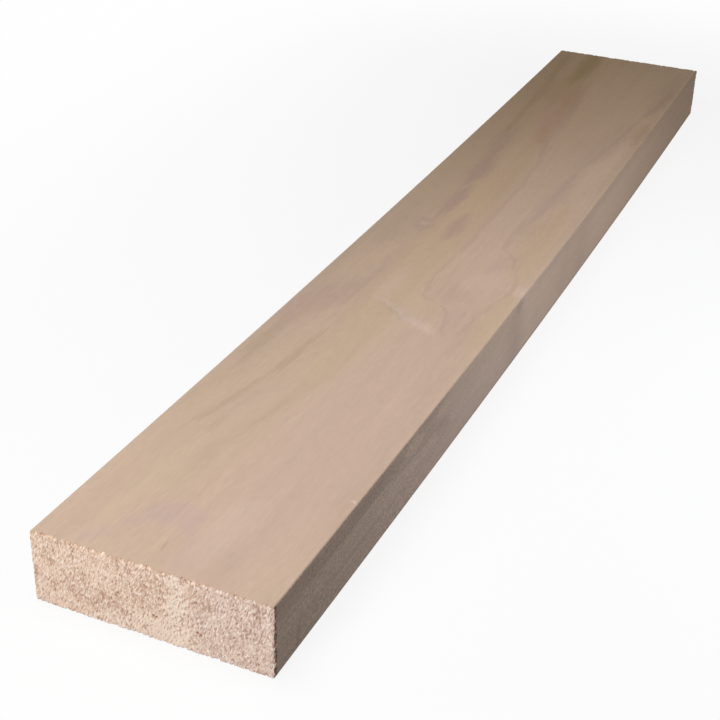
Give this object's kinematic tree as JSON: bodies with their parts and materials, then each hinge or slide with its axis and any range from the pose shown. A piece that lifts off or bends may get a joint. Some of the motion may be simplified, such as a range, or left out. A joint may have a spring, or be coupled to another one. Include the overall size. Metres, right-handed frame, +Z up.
{
  "type": "timber lumber plank",
  "caption": "Solid dressed hardwood plank of rectangular section with eased long edges and square-sawn ends, used as building or joinery stock.",
  "frame": {"origin": "middle of the underside, at the centre of the plank's footprint", "axes": "+X along the grain from the near end in the picture to the far end, +Y across the width to the left edge in the picture, +Z up through the thickness"},
  "size_m": [0.914, 0.14, 0.0445],
  "materials": {
    "timber": "planed faces and edges, rough-sawn end grain, unfinished"
  },
  "bodies": {
    "root": {"plank": "timber"}
  },
  "joints": []
}
